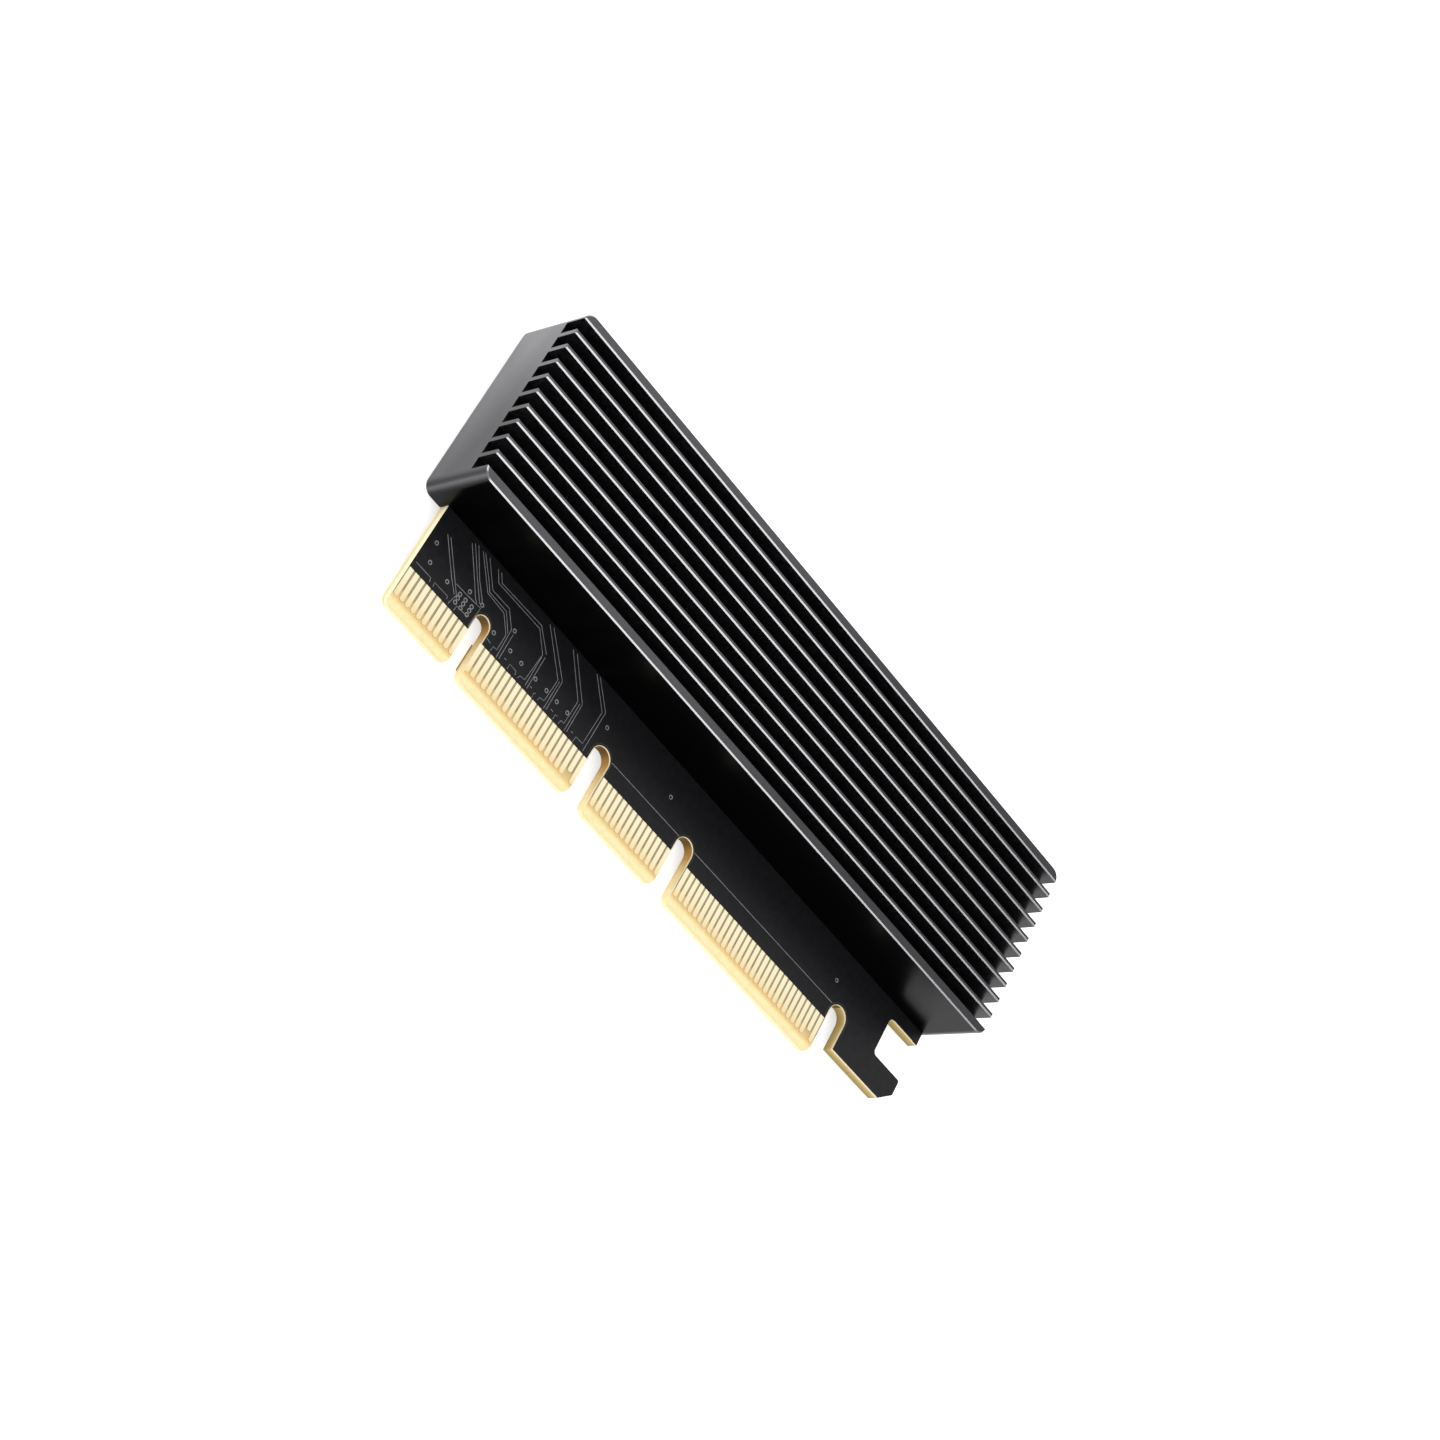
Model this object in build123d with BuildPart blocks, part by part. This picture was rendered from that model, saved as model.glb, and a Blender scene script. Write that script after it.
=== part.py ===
from build123d import *
from math import radians, tan
import os

# Adapter card with a 16-lane edge connector, one M.2 socket and a finned cover.
# It lies on the heads of its screws: X runs along the card, Y from the edge connector
# to the far side, Z from the back of the board to the fin tips. Sizes in millimetres.

# Edge connector, measured from the middle of contact 1 and from the board's lower edge
contact_pitch = 1.0
contact_width = 0.7
contact_length = 4.15
short_contact_length = 3.1
contact_thickness = 0.05
contact_tip_bevel = 0.2
contact_count = 82
contacts_before_key = 11
key_extra_pitch = 2.0
contacts_cut_by_gaps = (33, 34, 35, 50, 51, 52)
short_contacts_front = (17, 31, 48, 81)
short_contacts_back = (1,)
contact_top_height = 5.6

# Board
board_thickness = 1.57
board_left_margin = 0.5
key_notch_distance = 11.6
key_notch_width = 2.46
gap_notch_distances = (34.9, 51.93)
gap_notch_width = 3.12
hook_notch_distance = 85.22
hook_notch_width = 3.25
notch_top_height = 8.63
finger_corner_radius = 0.9
bevel_height = 1.3
bevel_angle = 20.0
bevel_depth = bevel_height * tan(radians(bevel_angle))

# Retention hook at the far end of the edge connector
hook_bottom_height = 3.24
hook_chamfer_width = 2.1
hook_chamfer_height = 2.0
foot_top_height = 7.53
stem_width = 6.4
foot_length = 5.955
latch_gap_top_height = 13.27
hook_inner_radius = 0.65
foot_tip_radius = 0.35

# Finned cover
groove_count = 10
thin_fin = 0.65
outer_fin = 1.4
cover_length = 104.35
cover_height_above_board = 9.5
fin_height = 3.2
web_thickness = 1.1
cover_wall = 1.2
cover_corner_radius = 1.5
cavity_corner_radius = 0.8
board_corner_radius = 1.0
fin_edge_chamfer = 0.16
cover_bottom_height = 15.24
contact_one_inset = 3.85
board_clearance = 0.1
socket_clearance = 0.425

# Cover fastening
boss_inset = 3.6
boss_corner_radius = 1.0
screw_diameter = 2.0
screw_length = 5.0
screw_head_diameter = 3.8
screw_head_height = 1.3
screw_head_bevel = 0.45
screw_hole_diameter = 2.4
thread_clearance = 0.05
bore_end_gap = 0.4
recess_depth = 0.7
recess_length = 2.0
recess_slot_width = 0.45

# Copper lands round the standoff holes
land_thickness = 0.05
land_diameter = 4.8
land_clearance = 0.05

# M.2 socket
socket_inset = 6.85
socket_length = 21.9
socket_depth = 6.8
socket_height = 4.1
socket_tail_length = 1.0
slot_length = 20.0
slot_depth = 4.4
slot_floor_height = 2.3
slot_height = 1.2
slot_key_offset = 6.125
slot_key_width = 1.1
mouth_chamfer = 0.3
peg_diameter = 1.1
peg_length = 1.2
peg_spacing = 18.0
peg_clearance = 0.1
socket_pin_pitch = 0.5
socket_pin_width = 0.2
strip_thickness = 0.15
socket_pin_count = 75
socket_key_pins = range(59, 67)
pin_clearance = 0.04
tab_width = 2.4
tab_height = 2.2
tab_foot_length = 1.1
tab_thickness = 0.2

# Drive fastening
drive_insertion_length = 3.9
standard_drive_lengths = (30.0, 42.0, 60.0, 80.0)
standoff_width = 4.0
standoff_height = 2.45
standoff_thread = 2.0
standoff_hole_diameter = 2.4
nut_width = 4.0
nut_height = 1.1
drive_screw_head_diameter = 4.2
drive_screw_head_height = 0.9
drive_screw_head_bevel = 0.3
drive_screw_length = 2.6
drive_screw_diameter = 1.6

# Thermal pad and small components
pad_width = 20.0
pad_thickness = 0.5
pad_standoff_gap = 8.0
pad_socket_gap = 0.1
chip_length = 1.6
chip_width = 0.8
ceramic_height = 0.8
resistor_height = 0.45
chip_end_length = 0.3
chip_row_pitch = 2.2
ceramic_count = 6
resistor_count = 4
chip_row_gap = 2.5
bulk_length = 7.3
bulk_width = 4.3
bulk_height = 2.8
bulk_spacing = 12.0
bulk_clearance = 0.45
bulk_lead_width = 2.4
bulk_lead_thickness = 0.2
bulk_lead_height = 1.2
bulk_lead_foot_length = 1.2

# Worked-out sizes and levels
cover_width = socket_length + 2 * (tab_foot_length + socket_clearance + cover_wall)
groove_width = (cover_width - 2 * outer_fin - (groove_count - 1) * thin_fin) / groove_count
card_height = cover_bottom_height + cover_width
board_back_z = screw_head_height
board_front_z = board_back_z + board_thickness
fin_tip_z = board_front_z + cover_height_above_board
groove_floor_z = fin_tip_z - fin_height
ceiling_z = groove_floor_z - web_thickness
contact_one_x = contact_one_inset - cover_length / 2
edge_y = -card_height / 2
cover_bottom_y = edge_y + cover_bottom_height
cover_mid_y = cover_bottom_y + cover_width / 2
cover_left_x = -cover_length / 2
board_left_x = contact_one_x - board_left_margin
board_right_x = cover_length / 2 - cover_wall - board_clearance
pocket_left_x = cover_left_x + cover_wall + board_clearance
board_top_y = cover_bottom_y + cover_width - cover_wall - board_clearance
leg_end_x = board_left_x - board_clearance
hook_left_x = contact_one_x + hook_notch_distance
stem_right_x = contact_one_x + hook_notch_distance + hook_notch_width / 2 + stem_width
foot_end_x = stem_right_x + foot_length
boss_width = 2 * (boss_inset - cover_wall)
screw_spacing_x = cover_length - 2 * boss_inset
screw_spacing_y = cover_width - 2 * boss_inset
socket_rear_x = cover_left_x + socket_inset + socket_tail_length
socket_front_x = socket_rear_x + socket_depth
drive_end_x = socket_front_x - drive_insertion_length
boss_left_x = (screw_spacing_x - boss_width) / 2
bulk_x = boss_left_x - bulk_clearance - bulk_width / 2
last_standoff_x = bulk_x - (bulk_width + land_diameter) / 2 - land_clearance
drive_lengths = [length for length in standard_drive_lengths if drive_end_x + length <= last_standoff_x]
standoff_x = drive_end_x + drive_lengths[-1]
pad_length = standoff_x - pad_standoff_gap - socket_front_x - pad_socket_gap
bore_diameter = screw_diameter + 2 * thread_clearance

# Named planes for the pieces that stand on the board
on_board = Plane.XY.offset(board_front_z)
under_board = Plane.XY.offset(board_back_z)
socket_section = Plane(origin=(socket_rear_x, cover_mid_y, board_front_z), x_dir=(1, 0, 0), z_dir=(0, -1, 0))
socket_mouth = Plane(origin=(socket_front_x, cover_mid_y, board_front_z), x_dir=(0, 1, 0), z_dir=(1, 0, 0))


def contact_x(number):
    """Middle of a numbered edge contact; the key notch takes two pitches after contact 11."""
    extra = key_extra_pitch if number > contacts_before_key else 0
    return contact_one_x + (number - 1) * contact_pitch + extra


def nearest_corner(sketch, x, y):
    """The sketch corner at a given place."""
    return sketch.vertices().sort_by_distance((x, y, board_back_z))[0]


def finish(part, name, color):
    """Label a finished piece, colour it and write its STEP file."""
    part.label = name
    part.color = Color(*color)
    export_step(part, f"parts/{name}.step")


os.makedirs("parts", exist_ok=True)
solder_black = (0.05, 0.05, 0.06)
gold = (0.93, 0.76, 0.38)
anodised = (0.16, 0.16, 0.17)
tin = (0.78, 0.78, 0.76)
steel = (0.25, 0.25, 0.27)
brass = (0.83, 0.68, 0.35)

# Circuit board
drive_hole_places = [(drive_end_x + length, cover_mid_y) for length in drive_lengths]
notches = [(key_notch_distance, key_notch_width), (hook_notch_distance, hook_notch_width)]
notches += [(center, gap_notch_width) for center in gap_notch_distances]
foot_top_y = edge_y + foot_top_height
latch_top_y = edge_y + latch_gap_top_height
hook_bottom_y = edge_y + hook_bottom_height
inner_shoulder_y = cover_bottom_y + cover_wall + board_clearance
board_corners = (
    (pocket_left_x, inner_shoulder_y),
    (pocket_left_x, board_top_y),
    (board_right_x, board_top_y),
)
with BuildPart() as circuit_board:
    with BuildSketch(under_board) as board_outline:
        with BuildLine():
            Polyline(
                (board_left_x, edge_y),
                (hook_left_x, edge_y),
                (hook_left_x, hook_bottom_y),
                (foot_end_x - hook_chamfer_width, hook_bottom_y),
                (foot_end_x, hook_bottom_y + hook_chamfer_height),
                (foot_end_x, foot_top_y),
                (stem_right_x, foot_top_y),
                (stem_right_x, latch_top_y),
                (board_right_x, latch_top_y),
                (board_right_x, board_top_y),
                (pocket_left_x, board_top_y),
                (pocket_left_x, inner_shoulder_y),
                (board_left_x, inner_shoulder_y),
                close=True,
            )
        make_face()
        for center, width in notches:
            arch_y = edge_y + notch_top_height - width / 2
            with Locations((contact_one_x + center, arch_y)):
                Circle(width / 2, mode=Mode.SUBTRACT)
            with Locations((contact_one_x + center, (edge_y + arch_y) / 2)):
                Rectangle(width, arch_y - edge_y, mode=Mode.SUBTRACT)
        fillet(board_outline.vertices().group_by(Axis.Y)[0], finger_corner_radius)
        fillet(nearest_corner(board_outline, stem_right_x, foot_top_y), hook_inner_radius)
        fillet(nearest_corner(board_outline, stem_right_x, latch_top_y), hook_inner_radius)
        fillet(nearest_corner(board_outline, foot_end_x, foot_top_y), foot_tip_radius)
        for corner_x, corner_y in board_corners:
            fillet(nearest_corner(board_outline, corner_x, corner_y), board_corner_radius)
    extrude(amount=board_thickness)
    # Lead-in bevel along both sides of the contact edge
    with BuildSketch(Plane.YZ.offset(board_left_x)):
        for face_z, inward in ((board_back_z, 1), (board_front_z, -1)):
            with BuildLine():
                Polyline(
                    (edge_y, face_z),
                    (edge_y + bevel_height, face_z),
                    (edge_y, face_z + inward * bevel_depth),
                    close=True,
                )
            make_face()
    extrude(amount=hook_left_x - board_left_x, mode=Mode.SUBTRACT)
    with Locations((0, cover_mid_y, board_front_z)):
        with GridLocations(screw_spacing_x, screw_spacing_y, 2, 2):
            Hole(screw_hole_diameter / 2, depth=board_thickness)
    with Locations([(x, y, board_front_z) for x, y in drive_hole_places]):
        Hole(standoff_hole_diameter / 2, depth=board_thickness)
    with Locations((socket_rear_x + socket_depth / 2, cover_mid_y, board_front_z)):
        with GridLocations(1, peg_spacing, 1, 2):
            Hole(peg_diameter / 2 + peg_clearance, depth=board_thickness)
finish(circuit_board.part, "circuit_board", solder_black)

# Gold contacts on both sides of the edge
contact_numbers = [n for n in range(1, contact_count + 1) if n not in contacts_cut_by_gaps]
pad_top_y = edge_y + contact_top_height
contact_sides = (
    ("edge_contacts_front", board_front_z, short_contacts_front),
    ("edge_contacts_back", board_back_z - contact_thickness, short_contacts_back),
)
for side_name, bottom_z, short_numbers in contact_sides:
    with BuildPart() as edge_contacts:
        with BuildSketch(Plane.XY.offset(bottom_z)) as pads:
            for number in contact_numbers:
                length = short_contact_length if number in short_numbers else contact_length
                with Locations((contact_x(number), edge_y + contact_top_height - length / 2)):
                    Rectangle(contact_width, length)
            tip_corners = pads.vertices().filter_by(lambda corner: corner.Y < pad_top_y - contact_width)
            chamfer(tip_corners, contact_tip_bevel)
        extrude(amount=contact_thickness)
    finish(edge_contacts.part, side_name, gold)

# Copper lands on the back, round the standoff holes
with BuildPart() as standoff_lands:
    with BuildSketch(under_board):
        with Locations(drive_hole_places):
            Circle(land_diameter / 2)
            Circle(standoff_hole_diameter / 2 + land_clearance, mode=Mode.SUBTRACT)
    extrude(amount=-land_thickness)
finish(standoff_lands.part, "standoff_hole_lands", gold)

# Finned cover: one machined extrusion with a pocket for the board and the drive
cavity_length = cover_length - 2 * cover_wall
cavity_width = cover_width - 2 * cover_wall
pocket_right_x = board_right_x + board_clearance
pocket_mouth = cover_wall + cavity_corner_radius
bore_depth = screw_length - board_thickness + bore_end_gap
with BuildPart() as heatsink_cover:
    with BuildSketch(under_board):
        with Locations((0, cover_mid_y)):
            RectangleRounded(cover_length, cover_width, cover_corner_radius)
    extrude(amount=fin_tip_z - board_back_z)
    # Grooves between the fins, open at both ends
    with BuildSketch(Plane.YZ.offset(cover_left_x)):
        with Locations((cover_mid_y, (groove_floor_z + fin_tip_z) / 2)):
            with GridLocations(groove_width + thin_fin, 1, groove_count, 1):
                Rectangle(groove_width, fin_height)
    extrude(amount=cover_length, mode=Mode.SUBTRACT)
    fin_tips = heatsink_cover.faces().filter_by(Axis.Z).group_by(Axis.Z)[-1]
    chamfer(fin_tips.edges(), fin_edge_chamfer)
    # Drive bay, then the board's pocket with its way out through the lower wall
    with BuildSketch(under_board):
        with Locations((0, cover_mid_y)):
            RectangleRounded(cavity_length, cavity_width, cavity_corner_radius)
    extrude(amount=ceiling_z - board_back_z, mode=Mode.SUBTRACT)
    with BuildSketch(under_board):
        with Locations(((leg_end_x + pocket_right_x) / 2, cover_bottom_y + pocket_mouth / 2)):
            Rectangle(pocket_right_x - leg_end_x, pocket_mouth)
    extrude(amount=board_thickness, mode=Mode.SUBTRACT)
    # Corner bosses that stand on the board, with the threads of the cover screws
    with BuildSketch(on_board) as boss_sections:
        with Locations((0, cover_mid_y)):
            with GridLocations(screw_spacing_x, screw_spacing_y, 2, 2):
                Rectangle(boss_width, boss_width)
        inner_corners = boss_sections.vertices().sort_by_distance((0, cover_mid_y, board_front_z))
        fillet(inner_corners[:4], boss_corner_radius)
    extrude(amount=ceiling_z - board_front_z)
    with BuildSketch(on_board):
        with Locations((0, cover_mid_y)):
            with GridLocations(screw_spacing_x, screw_spacing_y, 2, 2):
                Circle(bore_diameter / 2)
    extrude(amount=bore_depth, mode=Mode.SUBTRACT)
finish(heatsink_cover.part, "heatsink_cover", anodised)

# Pan-head cover screws, driven from the back
with BuildPart() as cover_screw:
    Cylinder(screw_head_diameter / 2, screw_head_height, align=(Align.CENTER, Align.CENTER, Align.MIN))
    chamfer(cover_screw.edges().group_by(Axis.Z)[0], screw_head_bevel)
    with BuildSketch(Plane.XY.offset(screw_head_height)):
        Circle(screw_diameter / 2)
    extrude(amount=screw_length)
    with BuildSketch():
        Rectangle(recess_length, recess_slot_width)
        Rectangle(recess_slot_width, recess_length)
    extrude(amount=recess_depth, mode=Mode.SUBTRACT)
with BuildPart() as cover_screws:
    with Locations((0, cover_mid_y)):
        with GridLocations(screw_spacing_x, screw_spacing_y, 2, 2):
            add(cover_screw.part)
finish(cover_screws.part, "cover_screws", steel)

# Thermal pad stuck to the cover's ceiling, over the drive
with BuildPart() as thermal_pad:
    with BuildSketch(Plane.XY.offset(ceiling_z - pad_thickness)):
        with Locations((standoff_x - pad_standoff_gap - pad_length / 2, cover_mid_y)):
            Rectangle(pad_length, pad_width)
    extrude(amount=pad_thickness)
finish(thermal_pad.part, "thermal_pad", (0.55, 0.6, 0.66))

# Socket contacts: the upper row's tails leave at the rear, the lower row's at the front
strip_half = strip_thickness / 2
upper_z = slot_floor_height + slot_height + strip_half
lower_z = slot_floor_height - strip_half
spring_lift = slot_height / 3
upper_path = (
    (-socket_tail_length, strip_half),
    (-strip_half, strip_half),
    (-strip_half, upper_z),
    (socket_depth - slot_depth + slot_height, upper_z),
    (socket_depth - slot_height, upper_z - spring_lift),
)
lower_path = (
    (socket_depth + socket_tail_length, strip_half),
    (socket_depth + strip_half, strip_half),
    (socket_depth + strip_half, lower_z),
    (socket_depth - slot_height, lower_z),
    (socket_depth - slot_depth + slot_height, lower_z + spring_lift),
)


def bent_strip(path, width, clearance=0):
    """A bent strip that follows the path in the socket's middle section."""
    with BuildPart() as strip:
        with BuildSketch(socket_section):
            with BuildLine():
                Polyline(*path)
            trace(line_width=strip_thickness + 2 * clearance)
        extrude(amount=width / 2 + clearance, both=True)
    return strip.part


def pin_places(pins):
    """Sideways places of the numbered pins, without those the key takes."""
    middle_pin = (socket_pin_count + 1) / 2
    return [(0, (middle_pin - n) * socket_pin_pitch / 2) for n in pins if n not in socket_key_pins]


def groove_spans(places):
    """First and last sideways place of a row's pins on each side of the key."""
    sideways = [y for _, y in places]
    near_pins = [y for y in sideways if y > -slot_key_offset]
    far_pins = [y for y in sideways if y < -slot_key_offset]
    return [(near_pins[0], near_pins[-1]), (far_pins[0], far_pins[-1])]


upper_pins = pin_places(range(1, socket_pin_count + 1, 2))
lower_pins = pin_places(range(2, socket_pin_count, 2))
socket_rows = (
    ("socket_upper_contacts", upper_path, upper_pins),
    ("socket_lower_contacts", lower_path, lower_pins),
)
for row_name, path, places in socket_rows:
    contact = bent_strip(path, socket_pin_width)
    with BuildPart() as contact_row:
        with Locations(places):
            add(contact)
    finish(contact_row.part, row_name, gold)

# Socket housing with its card slot, key rib, grooves for the contact rows and two board pegs
with BuildPart() as socket_housing:
    with BuildSketch(socket_section):
        with BuildLine():
            Polyline(
                (0, 0),
                (socket_depth, 0),
                (socket_depth, slot_floor_height + slot_height + mouth_chamfer),
                (socket_depth - slot_depth / 2, socket_height),
                (0, socket_height),
                close=True,
            )
        make_face()
    extrude(amount=socket_length / 2, both=True)
    with BuildSketch(socket_mouth):
        with Locations((0, slot_floor_height + slot_height / 2)):
            Rectangle(slot_length, slot_height)
        with Locations((-slot_key_offset, slot_floor_height + slot_height / 2)):
            Rectangle(slot_key_width, slot_height, mode=Mode.SUBTRACT)
    extrude(amount=-slot_depth, mode=Mode.SUBTRACT)
    for row_name, path, places in socket_rows:
        for first_y, last_y in groove_spans(places):
            groove = bent_strip(path, first_y - last_y + socket_pin_width, pin_clearance)
            with Locations((0, (first_y + last_y) / 2)):
                add(groove, mode=Mode.SUBTRACT)
    with BuildSketch(on_board):
        with Locations((socket_rear_x + socket_depth / 2, cover_mid_y)):
            with GridLocations(1, peg_spacing, 1, 2):
                Circle(peg_diameter / 2)
    extrude(amount=-peg_length)
finish(socket_housing.part, "socket_housing", (0.12, 0.12, 0.13))

# Solder tabs that hold the socket's two ends down
with BuildPart() as socket_tabs:
    for side in (-1, 1):
        wall_y = cover_mid_y + side * (socket_length + tab_thickness) / 2
        foot_y = cover_mid_y + side * (socket_length + tab_foot_length) / 2
        with Locations((socket_rear_x + socket_depth / 2, wall_y, board_front_z + tab_height / 2)):
            Box(tab_width, tab_thickness, tab_height)
        with Locations((socket_rear_x + socket_depth / 2, foot_y, board_front_z + tab_thickness / 2)):
            Box(tab_width, tab_foot_length, tab_thickness)
finish(socket_tabs.part, "socket_hold_down_tabs", tin)

# Standoff for the end of the drive, its nut on the back and its screw
standoff_base = Plane(origin=(standoff_x, cover_mid_y, board_front_z))
with BuildPart() as standoff:
    with BuildSketch(standoff_base):
        RegularPolygon(standoff_width / 2, 6, major_radius=False)
    extrude(amount=standoff_height)
    with BuildSketch(standoff_base):
        Circle(standoff_thread / 2)
    extrude(amount=-(board_thickness + land_thickness + nut_height))
    with Locations((standoff_x, cover_mid_y, board_front_z + standoff_height)):
        Hole(drive_screw_diameter / 2 + thread_clearance, depth=drive_screw_length + bore_end_gap)
finish(standoff.part, "drive_standoff", brass)

with BuildPart() as standoff_nut:
    with BuildSketch(Plane(origin=(standoff_x, cover_mid_y, board_back_z - land_thickness))):
        RegularPolygon(nut_width / 2, 6, major_radius=False)
        Circle(standoff_thread / 2 + thread_clearance, mode=Mode.SUBTRACT)
    extrude(amount=-nut_height)
finish(standoff_nut.part, "standoff_nut", brass)

drive_screw_seat = standoff_base.offset(standoff_height)
with BuildPart() as drive_screw:
    with BuildSketch(drive_screw_seat):
        Circle(drive_screw_head_diameter / 2)
    extrude(amount=drive_screw_head_height)
    chamfer(drive_screw.edges().group_by(Axis.Z)[-1], drive_screw_head_bevel)
    with BuildSketch(drive_screw_seat):
        Circle(drive_screw_diameter / 2)
    extrude(amount=-drive_screw_length)
    with BuildSketch(drive_screw_seat.offset(drive_screw_head_height)):
        Rectangle(recess_length, recess_slot_width)
        Rectangle(recess_slot_width, recess_length)
    extrude(amount=-recess_depth, mode=Mode.SUBTRACT)
finish(drive_screw.part, "drive_screw", steel)

# Rows of ceramic capacitors and resistors in front of the socket, under the drive
chip_row_x = socket_front_x + socket_tail_length + chip_row_gap


def chip_pieces(count, height, row_x):
    """Bodies and metal ends of a row of chip components."""
    body_length = chip_length - 2 * chip_end_length
    with BuildPart() as bodies:
        with BuildSketch(on_board):
            with Locations((row_x, cover_mid_y)):
                with GridLocations(1, chip_row_pitch, 1, count):
                    Rectangle(body_length, chip_width)
        extrude(amount=height)
    with BuildPart() as ends:
        with BuildSketch(on_board):
            with Locations((row_x, cover_mid_y)):
                with GridLocations(chip_length - chip_end_length, chip_row_pitch, 2, count):
                    Rectangle(chip_end_length, chip_width)
        extrude(amount=height)
    return bodies.part, ends.part


ceramic_bodies, ceramic_ends = chip_pieces(ceramic_count, ceramic_height, chip_row_x)
resistor_bodies, resistor_ends = chip_pieces(resistor_count, resistor_height, chip_row_x + chip_row_gap)
finish(ceramic_bodies, "ceramic_capacitors", (0.66, 0.52, 0.38))
finish(ceramic_ends, "ceramic_capacitor_ends", tin)
finish(resistor_bodies, "chip_resistors", (0.1, 0.1, 0.1))
finish(resistor_ends, "chip_resistor_ends", tin)

# Two bulk capacitors beside the end bosses, each held by a folded lead at both ends
bulk_body_length = bulk_length - 2 * bulk_lead_thickness
bulk_lead_spacing = bulk_length - bulk_lead_thickness
bulk_foot_spacing = bulk_length - bulk_lead_foot_length
with BuildPart() as bulk_capacitors:
    with BuildSketch(on_board.offset(bulk_lead_thickness)):
        with Locations((bulk_x, cover_mid_y)):
            with GridLocations(1, bulk_spacing, 1, 2):
                Rectangle(bulk_width, bulk_body_length)
    extrude(amount=bulk_height - bulk_lead_thickness)
finish(bulk_capacitors.part, "bulk_capacitors", (0.75, 0.56, 0.2))
with BuildPart() as bulk_leads:
    with BuildSketch(on_board):
        with Locations((bulk_x, cover_mid_y)):
            with GridLocations(1, bulk_spacing, 1, 2):
                with GridLocations(1, bulk_foot_spacing, 1, 2):
                    Rectangle(bulk_lead_width, bulk_lead_foot_length)
    extrude(amount=bulk_lead_thickness)
    with BuildSketch(on_board):
        with Locations((bulk_x, cover_mid_y)):
            with GridLocations(1, bulk_spacing, 1, 2):
                with GridLocations(1, bulk_lead_spacing, 1, 2):
                    Rectangle(bulk_lead_width, bulk_lead_thickness)
    extrude(amount=bulk_lead_height)
finish(bulk_leads.part, "bulk_capacitor_leads", tin)
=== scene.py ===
import bpy
from math import cos, pi, sin
from mathutils import Matrix, Vector


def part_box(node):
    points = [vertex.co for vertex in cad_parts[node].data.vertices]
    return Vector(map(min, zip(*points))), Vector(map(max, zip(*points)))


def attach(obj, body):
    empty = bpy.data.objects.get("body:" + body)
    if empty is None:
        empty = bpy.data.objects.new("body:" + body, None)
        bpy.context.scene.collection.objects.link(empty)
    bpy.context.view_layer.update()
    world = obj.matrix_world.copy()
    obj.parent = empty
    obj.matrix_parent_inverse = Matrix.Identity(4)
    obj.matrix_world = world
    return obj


# Adapter card with a 16-lane edge connector and a finned black cover, lying on its back
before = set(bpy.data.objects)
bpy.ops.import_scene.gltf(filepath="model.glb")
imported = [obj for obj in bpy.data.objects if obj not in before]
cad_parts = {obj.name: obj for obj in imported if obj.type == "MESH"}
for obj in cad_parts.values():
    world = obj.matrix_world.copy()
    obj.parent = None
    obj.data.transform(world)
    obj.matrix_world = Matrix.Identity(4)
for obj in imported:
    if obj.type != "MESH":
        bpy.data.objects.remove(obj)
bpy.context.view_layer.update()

MM = 0.001

# Places taken from the frame: the first contact, the edge of the solder mask and the board's faces
contact_low, contact_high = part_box("edge_contacts_front")
board_low, board_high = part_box("circuit_board")
cover_low, cover_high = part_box("heatsink_cover")
contact_width = 0.7
contact_thickness = 0.05
contact_one_x = contact_low.x + contact_width / 2 * MM
mask_line_y = contact_high.y
front_z = board_high.z
back_z = board_low.z
edge_y = board_low.y
# the middle and the width of each notch, in millimetres along the contacts; the hook follows the last
notches = ((11.6, 2.46), (34.9, 3.12), (51.93, 3.12), (85.22, 3.25))
notch_height = 8.63
hook_notch_x = contact_one_x + notches[-1][0] * MM
notch_top_y = edge_y + notch_height * MM


def on_card(across, up, z=front_z):
    """A place on the board from millimetres along the contacts and above the mask line."""
    return (contact_one_x + across * MM, mask_line_y + up * MM, z)


# Materials

# the Mix node's colour sockets by number, because their names repeat: two inputs and the output
COLOUR_A, COLOUR_B, COLOUR_OUT = 6, 7, 2
relief_depth = 0.01 * MM


def linear(hex_colour):
    """Linear colour of an sRGB hex value."""
    parts = [int(hex_colour[i:i + 2], 16) / 255 for i in (1, 3, 5)]
    return (*[c / 12.92 if c <= 0.04045 else ((c + 0.055) / 1.055) ** 2.4 for c in parts], 1.0)


def add_node(material, kind, settings, feeds=None):
    """One node with its settings, by socket or property name, and what feeds its inputs."""
    node = material.node_tree.nodes.new(kind)
    for name, value in settings.items():
        if name == "stops":
            for _ in value[2:]:
                node.color_ramp.elements.new(1.0)
            for stop, (position, colour) in zip(node.color_ramp.elements, value):
                stop.position = position
                stop.color = linear(colour)
        elif isinstance(name, int) or name in node.inputs:
            node.inputs[name].default_value = value
        else:
            setattr(node, name, value)
    for name, socket in (feeds or {}).items():
        material.node_tree.links.new(socket, node.inputs[name])
    return node


def start_material(name, **shader_settings):
    """A material with its shader set, and the Object coordinates that its patterns read."""
    material = bpy.data.materials.new(name)
    material.use_nodes = True
    shader = material.node_tree.nodes["Principled BSDF"]
    for socket, value in shader_settings.items():
        shader.inputs[socket.replace("_", " ").capitalize()].default_value = value
    coords = add_node(material, "ShaderNodeTexCoord", {}).outputs["Object"]
    return material, shader, coords


def feed(material, shader, socket, source):
    """Joins an output to one of the shader's inputs."""
    material.node_tree.links.new(source, shader.inputs[socket])


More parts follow.
